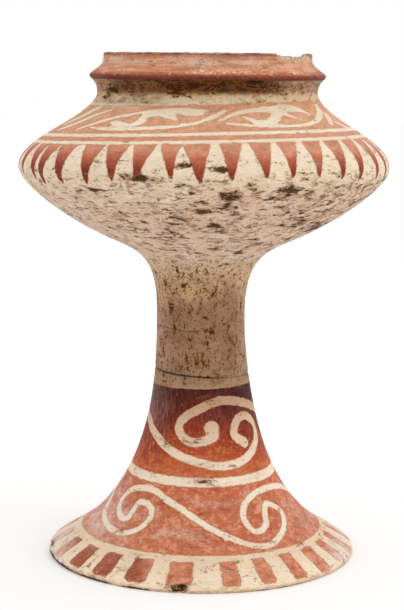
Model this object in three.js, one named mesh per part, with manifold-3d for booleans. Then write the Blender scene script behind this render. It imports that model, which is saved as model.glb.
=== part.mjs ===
// A footed earthenware vase: a wide, keeled bowl with a collared mouth on a tall, hollow, flaring foot.
// It was built by hand as one piece, so it is one solid: an outline turned about the upright axis,
// swayed a little as the clay was, with the chips that its lip and its foot have lost cut away.
// Millimetres, +Z up. The origin is on the standing plane, under the middle of the belly.

import * as THREE from "three";
import { mergeVertices } from "three/addons/utils/BufferGeometryUtils.js";
import Module from "manifold-3d";

// Diameters of the outside, from the standing ring up
const RING_DIAMETER = 183.6;
const FOOT_DIAMETER = 185.2;
const SKIRT_DIAMETER = 143;
const STEM_DIAMETER = 53;
const UNDERSIDE_DIAMETER = 110;
const BELLY_DIAMETER = 219;
const SHOULDER_DIAMETER = 176.4;
const NECK_DIAMETER = 129.6;
const COLLAR_DIAMETER = 138.8;
const LIP_DIAMETER = 122.4;

// Height that each part of the outside adds, from the standing ring up
const EDGE_RISE = 1.8;
const SKIRT_RISE = 15.2;
const FLARE_RISE = 129;
const STEM_RISE = 45;
const UNDERSIDE_RISE = 42.5;
const KEEL_RISE = 22.3;
const SHOULDER_RISE = 21.2;
const NECK_RISE = 8.4;
const RIDGE_RISE = 2.4;
const CAVETTO_RISE = 8.2;
const LIP_RISE = 4;

// Outward run for each millimetre of height, where one part of the outline passes into the next
const SKIRT_SLOPE = -1.35;
const UNDERSIDE_SLOPE = 2.3;
const SHOULDER_SLOPE = -1.65;
const NECK_SLOPE = 1.5;
const CAVETTO_SLOPE = -1.25;

// Length of the handle that draws each curve out of its lower end and into its upper end, by height
const SKIRT_PULL = [4, 6];
const FLARE_PULL = [26, 50];
const STEM_PULL = [32, 8];
const UNDERSIDE_PULL = [11.5, 10];
const KEEL_PULL = [9, 5.5];
const SHOULDER_PULL = [6.4, 7];
const NECK_PULL = [4, 1.6];
const RIDGE_PULL = [0.7, 0.7];
const CAVETTO_PULL = [3, 3.6];

// The clay's thickness, and what the hollows leave of it
const BOWL_WALL = 6.5;
const FOOT_WALL = 7;
const LIP_WIDTH = 4.6;
const LIP_ROUNDING = 1;
const FLOOR_THICKNESS = 14;
const FLOOR_FLAT = 14;
const HOLLOW_CROWN = 16;

// How far the hand-raised body stands out of true, to the side
const STEM_SWAY = -1.4;
const STEM_SWAY_REACH = 42;
const MOUTH_SWAY = 1.6;

// What has chipped off: bearing from the front towards +X, in degrees, and the lost clay's size
const LIP_CHIP = { bearing: 55, length: 30, width: 9, depth: 2.3 };
const FOOT_CHIP = { bearing: -8, length: 13, width: 5, depth: 2 };
const SIDE_CHIP = { bearing: -88, length: 12, width: 4, depth: 1.6 };

// How finely the outline is turned and sampled
const TURN_SEGMENTS = 48;
const CHIP_SEGMENTS = [12, 8];
const HOLLOW_STEP = 2;
const WELD_DISTANCE = 1e-4;

// A station is a point of the outline: its radius, its height, and the direction that it climbs in.
function station(diameter, height, slope) {
  return { at: new THREE.Vector2(diameter / 2, height), climb: new THREE.Vector2(slope, 1) };
}

// The stations of the outside, each standing on the rise of the one below it.
function outsideStations() {
  const parts = [
    [FOOT_DIAMETER, EDGE_RISE, 0],
    [SKIRT_DIAMETER, SKIRT_RISE, SKIRT_SLOPE],
    [STEM_DIAMETER, FLARE_RISE, 0],
    [UNDERSIDE_DIAMETER, STEM_RISE, UNDERSIDE_SLOPE],
    [BELLY_DIAMETER, UNDERSIDE_RISE, 0],
    [SHOULDER_DIAMETER, KEEL_RISE, SHOULDER_SLOPE],
    [NECK_DIAMETER, SHOULDER_RISE, 0],
    [COLLAR_DIAMETER, NECK_RISE, NECK_SLOPE],
    [COLLAR_DIAMETER, RIDGE_RISE, CAVETTO_SLOPE],
    [LIP_DIAMETER, CAVETTO_RISE, 0],
  ];
  let height = 0;
  return parts.map(([diameter, rise, slope]) => {
    height += rise;
    return station(diameter, height, slope);
  });
}

const [EDGE, SKIRT, STEM, UNDERSIDE, BELLY, SHOULDER, NECK, COLLAR, CAVETTO, LIP] = outsideStations();
const TOP = LIP.at.y + LIP_RISE;

// A curve from one station to the next that leaves and arrives along their climbs.
function sweep(from, to, [leave, arrive], steps) {
  const curve = new THREE.CubicBezierCurve(
    from.at,
    from.at.clone().addScaledVector(from.climb, leave),
    to.at.clone().addScaledVector(to.climb, -arrive),
    to.at,
  );
  return curve.getPoints(steps);
}

// Joins stretches of outline end to end, leaving out the point that each shares with the one before.
function chain(...stretches) {
  return stretches.reduce((path, stretch) => path.concat(stretch.slice(1)));
}

// The path moved sideways, towards the clay on its inner side, by the wall's thickness.
function inset(path, wall) {
  return path.map((point, i) => {
    const before = path[Math.max(i - 1, 0)];
    const after = path[Math.min(i + 1, path.length - 1)];
    const along = after.clone().sub(before).normalize();
    return new THREE.Vector2(point.x - along.y * wall, point.y + along.x * wall);
  });
}

function everyNth(path, step) {
  return path.filter((point, i) => i % step === 0 || i === path.length - 1);
}

// The outside of the foot and stem, from the edge's widest point up to the stem's waist.
function footOutside() {
  return chain(sweep(EDGE, SKIRT, SKIRT_PULL, 5), sweep(SKIRT, STEM, FLARE_PULL, 12));
}

// The outside of the bowl, from the underside up to the neck.
function bowlOutside() {
  return chain(
    sweep(UNDERSIDE, BELLY, UNDERSIDE_PULL, 7),
    sweep(BELLY, SHOULDER, KEEL_PULL, 5),
    sweep(SHOULDER, NECK, SHOULDER_PULL, 5),
  );
}

// The collar: a ridge that stands out over the neck, and a hollow moulding up to the lip.
function collarOutside() {
  return chain(
    sweep(NECK, COLLAR, NECK_PULL, 3),
    sweep(COLLAR, CAVETTO, RIDGE_PULL, 2),
    sweep(CAVETTO, LIP, CAVETTO_PULL, 4),
  );
}

// The lip's rounded top, from its outer face over to its inner face.
function lipTop() {
  const outer = LIP.at.x;
  const inner = outer - LIP_WIDTH;
  return [
    new THREE.Vector2(outer, TOP - LIP_ROUNDING),
    new THREE.Vector2(outer - LIP_ROUNDING, TOP),
    new THREE.Vector2(inner + LIP_ROUNDING, TOP),
    new THREE.Vector2(inner, TOP - LIP_ROUNDING),
  ];
}

// The inside of the bowl, from the lip down to the middle of its floor.
function bowlInside() {
  const lip = { at: new THREE.Vector2(LIP.at.x - LIP_WIDTH, TOP - LIP_ROUNDING), climb: LIP.climb };
  const wall = everyNth(inset(bowlOutside(), BOWL_WALL), HOLLOW_STEP).reverse();
  const neck = { at: wall[0], climb: new THREE.Vector2(0, 1) };
  const mouthPull = (lip.at.y - neck.at.y) / 3;
  const mouth = sweep(neck, lip, [mouthPull, mouthPull], 3).reverse();
  const foot = wall[wall.length - 1];
  const floor = new THREE.Vector2(FLOOR_FLAT, floorLevel());
  const turn = new THREE.Vector2((foot.x + floor.x) / 2, floor.y);
  const dish = new THREE.QuadraticBezierCurve(foot, turn, floor).getPoints(3);
  return chain(mouth, wall, dish, [floor, new THREE.Vector2(0, floorLevel())]);
}

// The floor of the bowl is level with the place where the stem passes into the bowl's underside.
function floorLevel() {
  return UNDERSIDE.at.y;
}

// The hollow of the foot, from the top of its crown down to the standing ring.
function footInside() {
  const clearOfRing = inset(footOutside(), FOOT_WALL).filter((point) => point.y > EDGE_RISE);
  const wall = everyNth(clearOfRing, HOLLOW_STEP).reverse();
  const crown = new THREE.Vector2(0, floorLevel() - FLOOR_THICKNESS);
  const springing = new THREE.Vector2(wall[0].x, crown.y - HOLLOW_CROWN);
  const corner = new THREE.Vector2(wall[0].x, crown.y);
  const dome = new THREE.QuadraticBezierCurve(crown, corner, springing).getPoints(4);
  const ring = new THREE.Vector2(EDGE.at.x - FOOT_WALL, 0);
  return [...dome, ...wall, ring];
}

// The whole outline of the clay, from the crown of the foot's hollow round to the middle of the floor.
function outline() {
  const standing = new THREE.Vector2(RING_DIAMETER / 2, 0);
  const stem = sweep(STEM, UNDERSIDE, STEM_PULL, 6);
  const outside = chain(footOutside(), stem, bowlOutside(), collarOutside());
  return [...footInside(), standing, ...outside, ...lipTop(), ...bowlInside().slice(1)];
}

// How far the body's middle stands to the side at a height.
function sway(height) {
  const fromStem = (height - STEM.at.y) / STEM_SWAY_REACH;
  const up = THREE.MathUtils.smoothstep(height, BELLY.at.y, NECK.at.y);
  return STEM_SWAY * Math.exp(-fromStem * fromStem) + MOUTH_SWAY * up;
}

function turnedBody() {
  const geometry = new THREE.LatheGeometry(outline(), TURN_SEGMENTS);
  geometry.rotateX(Math.PI / 2);
  const position = geometry.getAttribute("position");
  for (let i = 0; i < position.count; i += 1) {
    position.setX(i, position.getX(i) + sway(position.getZ(i)));
  }
  return geometry;
}

// The clay that one chip took away, an ellipsoid centred on an edge of the body.
function lostClay(chip, radius, height) {
  const geometry = new THREE.SphereGeometry(1, ...CHIP_SEGMENTS);
  geometry.scale(chip.length / 2, chip.width / 2, chip.depth);
  const bearing = THREE.MathUtils.degToRad(chip.bearing);
  geometry.rotateZ(bearing);
  geometry.translate(
    radius * Math.sin(bearing) + sway(height),
    -radius * Math.cos(bearing),
    height,
  );
  return geometry;
}

const wasm = await Module();
wasm.setup();

// A closed geometry as a solid, with its shared corners merged and its empty triangles left out.
function toSolid(geometry) {
  const bare = geometry.clone();
  bare.deleteAttribute("normal");
  bare.deleteAttribute("uv");
  const welded = mergeVertices(bare, WELD_DISTANCE);
  const triangles = [];
  for (let i = 0; i < welded.index.count; i += 3) {
    const [a, b, c] = [0, 1, 2].map((k) => welded.index.getX(i + k));
    if (a !== b && b !== c && c !== a) triangles.push(a, b, c);
  }
  return new wasm.Manifold(new wasm.Mesh({
    numProp: 3,
    vertProperties: new Float32Array(welded.getAttribute("position").array),
    triVerts: new Uint32Array(triangles),
  }));
}

function toGeometry(solid) {
  const mesh = solid.getMesh();
  const geometry = new THREE.BufferGeometry();
  geometry.setAttribute("position", new THREE.BufferAttribute(new Float32Array(mesh.vertProperties), 3));
  geometry.setIndex(new THREE.BufferAttribute(new Uint32Array(mesh.triVerts), 1));
  geometry.computeVertexNormals();
  return geometry;
}

function vase() {
  const lost = [
    lostClay(LIP_CHIP, LIP.at.x, TOP),
    lostClay(FOOT_CHIP, EDGE.at.x, EDGE_RISE),
    lostClay(SIDE_CHIP, EDGE.at.x, EDGE_RISE),
  ];
  const body = lost.reduce((solid, clay) => solid.subtract(toSolid(clay)), toSolid(turnedBody()));
  const clay = new THREE.MeshStandardMaterial({ color: 0xd9c4a4, roughness: 0.85, metalness: 0 });
  const mesh = new THREE.Mesh(toGeometry(body), clay);
  mesh.name = "vase";
  return mesh;
}

const group = new THREE.Group();
group.add(vase());

export default group;
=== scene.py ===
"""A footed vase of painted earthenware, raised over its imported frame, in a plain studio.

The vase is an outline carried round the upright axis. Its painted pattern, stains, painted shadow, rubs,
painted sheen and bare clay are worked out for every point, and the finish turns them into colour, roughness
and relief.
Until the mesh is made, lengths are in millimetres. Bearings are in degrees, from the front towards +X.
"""

import math
from collections import namedtuple
from types import SimpleNamespace

import bpy
import numpy as np
from bpy.props import FloatProperty, FloatVectorProperty, IntProperty, PointerProperty
from mathutils import Matrix, Vector


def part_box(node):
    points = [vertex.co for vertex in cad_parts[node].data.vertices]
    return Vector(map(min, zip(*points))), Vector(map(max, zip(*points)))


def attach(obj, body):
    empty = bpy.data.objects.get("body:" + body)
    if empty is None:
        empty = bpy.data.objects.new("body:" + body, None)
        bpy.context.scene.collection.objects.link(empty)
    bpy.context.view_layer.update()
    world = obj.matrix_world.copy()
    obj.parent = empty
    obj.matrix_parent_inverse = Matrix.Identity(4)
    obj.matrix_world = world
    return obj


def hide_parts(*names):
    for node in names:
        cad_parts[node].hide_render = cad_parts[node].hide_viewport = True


bl_info = {
    "name": "Footed Earthenware Vase",
    "version": (1, 0, 0),
    "blender": (4, 5, 0),
    "location": "View3D > Sidebar > Pottery",
    "description": "Raises a painted vase on a flaring foot over its frame, in a plain studio",
    "category": "Add Mesh",
}

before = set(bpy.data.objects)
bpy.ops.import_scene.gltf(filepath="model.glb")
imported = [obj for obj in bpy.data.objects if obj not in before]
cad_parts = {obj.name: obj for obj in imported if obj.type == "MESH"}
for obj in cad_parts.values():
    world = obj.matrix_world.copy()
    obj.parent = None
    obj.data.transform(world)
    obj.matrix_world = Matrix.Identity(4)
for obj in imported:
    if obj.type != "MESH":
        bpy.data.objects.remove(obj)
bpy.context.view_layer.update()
NODE = "vase"
BODY = "root"
SLOT = "painted_earthenware"
PIECE = "painted_vase"

# A station of the outside: its diameter, its rise from the station below and the outward run for each
# millimetre of height there; then, for the curve up to it, how far its handles reach in height at the
# lower and the upper end, and its rows of mesh
Station = namedtuple("Station", "diameter rise slope leave arrive rows")
STATIONS = {
    "edge": Station(185.2, 1.8, 0, 0, 0, 0),
    "skirt": Station(143, 15.2, -1.35, 4, 6, 20),
    "stem": Station(53, 129, 0, 26, 50, 86),
    "underside": Station(110, 45, 2.3, 32, 8, 16),
    "belly": Station(219, 42.5, 0, 11.5, 10, 34),
    "shoulder": Station(176.4, 22.3, -1.65, 9, 5.5, 22),
    "neck": Station(129.6, 21.2, 0, 6.4, 7, 26),
    "collar": Station(137.8, 8.4, 1.3, 4, 1.6, 7),
    "cavetto": Station(137.6, 2.4, -1.1, 0.7, 0.7, 3),
    "lip": Station(122.4, 8.2, 0, 3, 3.6, 9),
}
RING_RADIUS = 91.8
LIP_RISE = 4.0

NAMES = list(STATIONS)
RADIUS = {name: STATIONS[name].diameter / 2 for name in NAMES}
HEIGHT = dict(zip(NAMES, np.cumsum([STATIONS[name].rise for name in NAMES])))
TOP = HEIGHT["lip"] + LIP_RISE
LOW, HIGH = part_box(NODE)
MM = (HIGH.z - LOW.z) / TOP

# The clay's inner side
LIP_WIDTH = 4.6
LIP_ROUNDING = 1.0
FLOOR_THICKNESS = 14.0
FLOOR_FLAT = 14.0
HOLLOW_CROWN = 16.0
DOME_ROWS = 6
FOOT_ROWS = 18
MOUTH_ROWS = 8
BOWL_ROWS = 14

# How far the hand-raised body stands out of true, to the side
STEM_SWAY = -1.4
STEM_SWAY_REACH = 42.0
MOUTH_SWAY = 1.6

# The line cut round the stem: its height and width, how much lower it stands at the right than in the middle,
# the stem's radius there, and the height of the fainter join above it
CUT_HEIGHT = 111.2
CUT_WIDTH = 0.9
CUT_LEAN = 1.7
CUT_RADIUS = 29
JOIN_HEIGHT = 138.8

# What has chipped off. The chip lies across the lip's top or the foot's edge, and its rim is ragged
Chip = namedtuple("Chip", "bearing length width depth radius height")
LIP_CHIP = Chip(56, 36, 14, 2.1, RADIUS["lip"], TOP)
FOOT_CHIPS = (
    Chip(-8, 13, 5, 2.6, RADIUS["edge"], HEIGHT["edge"] + 0.8),
    Chip(-88, 12, 4, 2, RADIUS["edge"], HEIGHT["edge"] + 0.6),
)

# The lip's dip behind the chip, as its bearing, half-width and depth, and the depth of the nibbles all round
LIP_DIP = (116, 17, 1.9)
NIBBLE = 0.22


def sweep(name, count):
    """Points on the cubic curve (1-t)^3 a + 3t(1-t)^2 b + 3t^2(1-t) c + t^3 d up to a station from the last.

    Its handles b and c lie along the slopes there."""
    before = NAMES[NAMES.index(name) - 1]
    upper = STATIONS[name]
    a = np.array([RADIUS[before], HEIGHT[before]])
    d = np.array([RADIUS[name], HEIGHT[name]])
    b = a + upper.leave * np.array([STATIONS[before].slope, 1])
    c = d - upper.arrive * np.array([upper.slope, 1])
    t = np.linspace(0, 1, count)[:, None]
    return (1 - t) ** 3 * a + 3 * t * (1 - t) ** 2 * b + 3 * t**2 * (1 - t) * c + t**3 * d


def even(path, count):
    """The path as count points at equal steps of its running length."""
    length = np.concatenate([[0], np.cumsum(np.hypot(*np.diff(path, axis=0).T))])
    at = np.linspace(0, length[-1], count)
    return np.column_stack([np.interp(at, length, path[:, 0]), np.interp(at, length, path[:, 1])])


def chain(*stretches):
    """Stretches of outline end to end, each without the point that it shares with the one before."""
    return np.concatenate([stretches[0]] + [part[1:] for part in stretches[1:]])


def inset(path, wall):
    """The path moved to its left, square to its own direction, by the wall's thickness."""
    along = np.gradient(path, axis=0)
    along /= np.hypot(*along.T)[:, None]
    return path + wall * np.column_stack([-along[:, 1], along[:, 0]])


def arch(start, corner, end, count):
    """Points on the curve (1-t)^2 start + 2t(1-t) corner + t^2 end."""
    t = np.linspace(0, 1, count)[:, None]
    return (1 - t) ** 2 * np.array(start) + 2 * t * (1 - t) * np.array(corner) + t**2 * np.array(end)


# The outside as a fine path, from which heights give radii and running lengths
FINE = 160
OUTSIDE = chain(
    np.array([[RING_RADIUS, 0], [RADIUS["edge"], HEIGHT["edge"]]]),
    *(sweep(name, FINE) for name in NAMES[1:]),
    np.array([[RADIUS["lip"], HEIGHT["lip"]], [RADIUS["lip"], TOP]]),
)
OUTSIDE_LENGTH = np.concatenate([[0], np.cumsum(np.hypot(*np.diff(OUTSIDE, axis=0).T))])


def radius_at(height):
    """The outside's radius at a height."""
    return np.interp(height, OUTSIDE[:, 1], OUTSIDE[:, 0])


def arc(height):
    """The length of the outside's outline from the standing ring up to a height."""
    return np.interp(height, OUTSIDE[:, 1], OUTSIDE_LENGTH)


def smooth(value, low, high):
    """0 below low, 1 above high and 3t^2 - 2t^3 between them; low above high turns it round."""
    t = np.clip((value - low) / (high - low), 0, 1)
    return t * t * (3 - 2 * t)


def sway(height):
    """How far the middle stands to the side: a bell round the stem's waist and a step to the mouth."""
    waist = STEM_SWAY * np.exp(-(((height - HEIGHT["stem"]) / STEM_SWAY_REACH) ** 2))
    return waist + MOUTH_SWAY * smooth(height, HEIGHT["belly"], HEIGHT["neck"])


def foot_hollow(wall):
    """The hollow of the foot, from the middle of its crown down to the standing ring."""
    outside = chain(sweep("skirt", FINE), sweep("stem", FINE))
    inner = inset(outside, wall)
    inner = inner[(inner[:, 1] > HEIGHT["edge"]) & (outside[:, 1] < HEIGHT["stem"] - 1)][::-1]
    crown = HEIGHT["underside"] - FLOOR_THICKNESS
    spring = (inner[0, 0], crown - HOLLOW_CROWN)
    dome = arch((0, crown), (spring[0], crown), spring, DOME_ROWS)
    ring = (RADIUS["edge"] - wall, 0)
    return chain(dome, even(np.vstack([spring, inner, ring]), FOOT_ROWS))


def bowl_hollow(wall):
    """The inside of the bowl, from the lip down to the middle of its floor."""
    lip = (RADIUS["lip"] - LIP_WIDTH, TOP - LIP_ROUNDING)
    inner = inset(chain(*(sweep(name, FINE) for name in ("belly", "shoulder", "neck"))), wall)[::-1]
    neck = inner[0]
    mouth = arch(lip, (neck[0] - 1.2, (neck[1] + lip[1]) / 2), neck, MOUTH_ROWS)
    floor = (FLOOR_FLAT, HEIGHT["underside"])
    dish = arch(inner[-1], ((inner[-1, 0] + floor[0]) / 2, floor[1]), floor, 4)
    return chain(mouth, even(inner, BOWL_ROWS), dish, np.array([floor, (0, floor[1])]))


def lip_top():
    """The lip's worn, rounded top, from its outer face over to its inner face."""
    outer, inner, low = RADIUS["lip"], RADIUS["lip"] - LIP_WIDTH, TOP - LIP_ROUNDING
    outward = arch((outer, low), (outer, TOP), (outer - LIP_ROUNDING, TOP), 4)
    inward = arch((inner + LIP_ROUNDING, TOP), (inner, TOP), (inner, low), 4)
    return chain(outward, np.array([outward[-1], (outer - LIP_WIDTH / 2, TOP), inward[0]]), inward)


def whole_outline(form):
    """Radius and height of every row of the mesh, and which rows are the outside."""
    hollow = foot_hollow(form.foot_wall / MM)
    ring = np.array([hollow[-1], (RING_RADIUS - 0.5, 0), (RING_RADIUS, 0.2)])
    edge = np.array([ring[-1], (radius_at(1), 1), (RADIUS["edge"], HEIGHT["edge"])])
    curves = [even(sweep(name, FINE), STATIONS[name].rows) for name in NAMES[1:]]
    face = np.array([curves[-1][-1], (curves[-1][-1, 0], TOP - LIP_ROUNDING)])
    outside = chain(edge, *curves, face)
    path = chain(hollow, ring, outside, lip_top(), bowl_hollow(form.bowl_wall / MM))
    rows = np.arange(len(path))
    first = len(hollow) + len(ring) - 2
    return path, (rows >= first) & (rows < first + len(outside) + 4)


# The painted pattern. Every shape gives a depth in millimetres, above 0 inside it
FAR = 99.0
NEAR = 6
LINE = 2.7
COLLAR_FOOT = 284.6
FRIEZE_TOP = 271.2
FRIEZE_FOOT = 249.2
FRIEZE_LINES = ((254.1, 1.85), (250.2, 1.65))
ZONE_TOP = 104.0
ZONE_FOOT = 16.2
MIDDLE_BAND = (52.4, 2.9)
STRIPE_FOOT = 3.3
STRIPE_TOP = 13.6
BAR_CORNER = 2.4
SCROLL_LINE = 2.1
CREAM_SPREAD = 0.25

# Teeth below the shoulder in front: bearing of root and of tip, height of the tip and half-width at the root
TEETH = (
    (-65, -60.5, 229, 6.2), (-57, -56, 226.5, 6.2), (-49, -46.2, 227.5, 7), (-37.4, -35.7, 228.5, 7),
    (-28.7, -26.9, 230.8, 6.8), (-19.2, -19.3, 231.5, 6.4), (-11.2, -9.3, 233, 5.2), (-2.8, -1, 230.5, 7.6),
    (8.1, 7.6, 232.3, 6.3), (17.7, 17.7, 233.8, 6.5), (27.4, 25.8, 234.2, 6.1), (37.4, 34.5, 233.8, 6.5),
    (47.2, 43.8, 232.3, 6.6), (57, 52, 229.8, 6.4),
)
TEETH_BEHIND = 25
TOOTH_BEHIND = (230, 6.4)
TOOTH_TIP = 0.9

# Bars across the foot's edge in front: bearing and half-width. The rest are spaced evenly behind
STRIPES = (
    (-69, 5.2), (-54, 5.9), (-39.5, 6.2), (-24.5, 6.3), (-7.8, 7), (11.3, 5), (25.3, 4.6), (38.8, 4.6),
    (52.2, 5), (65.5, 4.8), (79, 5),
)
STRIPES_BEHIND = 12
STRIPE_BEHIND = 5.5

# The two long lines of the foot as knots of bearing and height, over one half of the vase and into the other.
# The upper one begins and ends in a hook, and the lower one runs right round through its curls
HOOKED_LINE = (
    (10, 81.5), (11, 77), (-0.5, 74), (-11.5, 74), (-21, 78), (-23.5, 83), (-16, 88.6), (0, 93.4), (12, 96.2),
    (26, 97.3), (48, 95.3), (78, 89.5), (111, 82), (117, 79.2), (131.5, 74.7), (145, 70), (161.5, 65.4),
    (180, 62.3), (191.5, 60.6), (208.5, 60.8), (222, 63), (235, 67.5), (246.5, 74), (246.5, 81),
    (234.5, 86.6), (222, 86), (214.5, 80.5), (215, 76), (224.5, 72),
)
SCROLL = (
    (-84, 34), (-74, 27), (-62, 23.3), (-52, 21.8), (-43, 22.1), (-35.5, 25.8), (-32, 31.4), (-33, 35.8),
    (-38.5, 38.2), (-44.5, 37.8), (-46.5, 33.8), (-47.5, 29.3), (-52, 28.2), (-60, 31.3), (-63.5, 36.2),
    (-59, 42.2), (-47.5, 45.3), (-36, 45.5), (-25, 42), (-13, 37.6), (0, 31.2), (8, 27.2), (17, 23), (24, 20),
    (30, 18.7), (36, 18.6), (45.5, 21.8), (54, 26.8), (57, 31.5), (52, 35.7), (46, 37.2), (42, 32.5),
    (40, 28.4), (35, 25.5), (30, 25.6), (27, 29.3), (26.5, 34.3), (31, 40), (41, 43.8), (56, 44.8),
    (77, 41.7),
)

# Two short spurs on the scroll's middle, as knots and half-widths
SPURS = (([(13, 25.2), (12.4, 22)], (1.4, 0.4)), ([(14.5, 24.4), (17.5, 21)], (1.6, 0.4)))

# One half of the leafy frieze, as brush strokes whose knots are bearing, height and half-width.
# The first list is cream on the red ground, and the second is red on that cream
FRIEZE_CREAM = (
    ((-76, 258.5, 1.5), (-70, 262.5, 2.2), (-64.5, 266.6, 2.4), (-60, 268.8, 1)),
    ((-72, 255.5, 1.5), (-66, 258, 1.9), (-62, 260.8, 1.9), (-57, 264.3, 1.6), (-49, 267.6, 0.8)),
    ((-56, 256.6, 1.3), (-47, 261.6, 1.5), (-35, 265.3, 1.7), (-24, 267, 2), (-10, 268, 2), (0, 268, 0.7)),
    (
        (-50, 257.8, 0.8), (-38, 257.6, 1.7), (-24, 258.4, 1.8), (-12, 259.8, 1.6), (-4, 261.7, 1.4),
        (2, 264.6, 1.6), (8.5, 268.4, 0.9),
    ),
    (
        (-41.8, 261.2, 0.5), (-39, 260.4, 2.5), (-35, 259.6, 2.9), (-31, 259.4, 2.5), (-27.9, 261.6, 3),
        (-27.2, 264, 3), (-26.5, 266.5, 2.4),
    ),
    ((-26, 266, 2), (-18, 265.6, 2.8), (-12, 263.5, 1.8), (-9, 261, 1.1)),
    ((-13, 267.2, 1.2), (-7, 266.6, 2.4), (-2, 266.2, 1.2)),
    (
        (5, 262.8, 0.8), (13, 266.8, 1.4), (22, 268.4, 1.6), (32, 269, 2.6), (41, 269.2, 3), (48, 268.4, 2.2),
        (53, 265.6, 0.8),
    ),
    (
        (8, 261.6, 0.9), (16, 260.6, 1.3), (28, 260.1, 1.5), (40, 260.2, 1.4), (49, 261.4, 1.5),
        (57, 263.8, 1.9), (66, 268.4, 2.8), (67.5, 271.5, 2.4),
    ),
    (
        (15.5, 265, 0.5), (18.7, 263.3, 1.6), (21.5, 262, 2.6), (25, 261.7, 3), (29, 263.2, 3),
        (32, 266, 2.8), (34, 269, 2.6),
    ),
    ((34, 267, 2), (38, 265.8, 1.3), (41.5, 264.2, 1), (45, 262.9, 0.5)),
    ((69, 265.8, 2.2), (65, 262.5, 2.3), (61, 260.2, 1.2)),
    ((69, 260.8, 1.9), (73, 258.4, 1.9), (79, 256.6, 1)),
)
FRIEZE_RED = (
    ((-49, 259.2, 0.3), (-45, 260.2, 1.3), (-42.5, 260.7, 0.5)),
    ((-42, 262.4, 0.5), (-36, 263.1, 1.6), (-30, 265.4, 0.4)),
    ((-24.5, 263.4, 1.4), (-20, 262.8, 2.6), (-11.5, 260.6, 0.3)),
    ((-13, 265.2, 0.5), (-9, 263.2, 2.4), (-2.5, 263.8, 0.3)),
    ((15, 265.9, 0.3), (21, 266.2, 1.4), (27, 266, 1)),
    ((33.5, 264, 0.8), (37.5, 262.9, 1.5), (44, 262.4, 0.3)),
    ((39.5, 267.4, 0.3), (45, 265.8, 1), (52, 264.3, 1.3)),
)


def stroke(*knots, width=LINE, steps=8):
    """A brush stroke as rows of bearing, height and half-width.

    Between knots b and c, with a before and d after them, it is the Catmull-Rom curve
    (2b + (c-a)t + (2a-5b+4c-d)t^2 + (3b-a-3c+d)t^3) / 2."""
    path = np.concatenate([np.atleast_2d(np.asarray(knot, float)) for knot in knots])
    wide = np.interp(np.linspace(0, 1, len(path)), np.linspace(0, 1, np.size(width)), np.atleast_1d(width))
    path = np.column_stack([path, wide])
    ends = np.concatenate([2 * path[:1] - path[1:2], path, 2 * path[-1:] - path[-2:-1]])
    a, b, c, d = ends[:-3, None], ends[1:-2, None], ends[2:-1, None], ends[3:, None]
    t = np.linspace(0, 1, steps, endpoint=False)[None, :, None]
    curve = 0.5 * (2 * b + (c - a) * t + (2 * a - 5 * b + 4 * c - d) * t**2 + (3 * b - a - 3 * c + d) * t**3)
    return np.concatenate([curve.reshape(-1, 3), path[-1:]])


def brushed(strokes, more=0.0):
    """Strokes whose knots hold their half-widths, with some more added, on both halves of the vase."""
    lines = [np.array(knots, float) for knots in strokes]
    return both_halves([stroke(knots[:, :2], width=knots[:, 2] + more) for knots in lines])


def both_halves(lines):
    """The strokes, and the same again half a turn round the vase."""
    return [line + (turn, 0, 0) for turn in (0, 180) for line in lines]


def apart(bearing, middle):
    """How far a bearing lies past another, from -180 to 180."""
    return (bearing - middle + 180) % 360 - 180


def outside_all(bearing, height):
    """A depth far outside any paint."""
    return np.full(np.broadcast(bearing, height).shape, -FAR)


def reach(bearing, height, line):
    """Depth inside a stroke: its half-width less the distance to its middle line.

    Sideways distance is the bearing's difference times the radius, and up the surface it is the arc's."""
    depth = outside_all(bearing, height)
    near = (height[:, 0] > line[:, 1].min() - NEAR) & (height[:, 0] < line[:, 1].max() + NEAR)
    rows = height[near]
    radius, along, best = radius_at(rows), arc(rows), depth[near]
    for start, end in zip(line[:-1], line[1:]):
        x = np.radians(apart(start[0], bearing)) * radius
        y = arc(start[1]) - along
        dx = np.radians(end[0] - start[0]) * radius
        dy = arc(end[1]) - arc(start[1])
        t = np.clip(-(x * dx + y * dy) / (dx * dx + dy * dy + 1e-9), 0, 1)
        best = np.maximum(best, start[2] + (end[2] - start[2]) * t - np.hypot(x + dx * t, y + dy * t))
    depth[near] = best
    return depth


def union(bearing, height, lines):
    """Depth inside any of some strokes."""
    return np.maximum.reduce([reach(bearing, height, line) for line in lines])


def band(height, middle, half):
    """Depth inside a band round the vase: its half-width less the arc from its middle."""
    return half - np.abs(arc(height) - arc(middle))


def lean(bearing, middle, amount, phase=0.0):
    """A height that rises and falls once round the vase: middle + amount sin(bearing)."""
    return middle + amount * np.sin(np.radians(bearing + phase))


def tilted(bearing, middle):
    """A height on the tilt of the frieze's lower lines, lowest at the left."""
    return lean(bearing, middle, 3, 40)


def hooked_line():
    """The upper line, thick where it starts."""
    return stroke(HOOKED_LINE, width=[4.6, 3.2] + [LINE] * 22 + [3.2])


def running_scroll():
    """The lower line, linked right round the vase."""
    half = np.array(SCROLL, float)
    return stroke(half, half + (180, 0), half[:2] + (360, 0), width=SCROLL_LINE)


def all_teeth():
    """Bearing of root and of tip, height of the tip and half-width at the root of every tooth."""
    roots = np.linspace(TEETH[-1][0], TEETH[0][0] + 360, TEETH_BEHIND + 2)[1:-1]
    tip, half = TOOTH_BEHIND
    drift = 3 * np.sin(np.radians(roots))
    behind = zip(roots, roots - drift, tip + np.sin(roots), np.full(len(roots), half))
    return [*TEETH, *behind]


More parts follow.
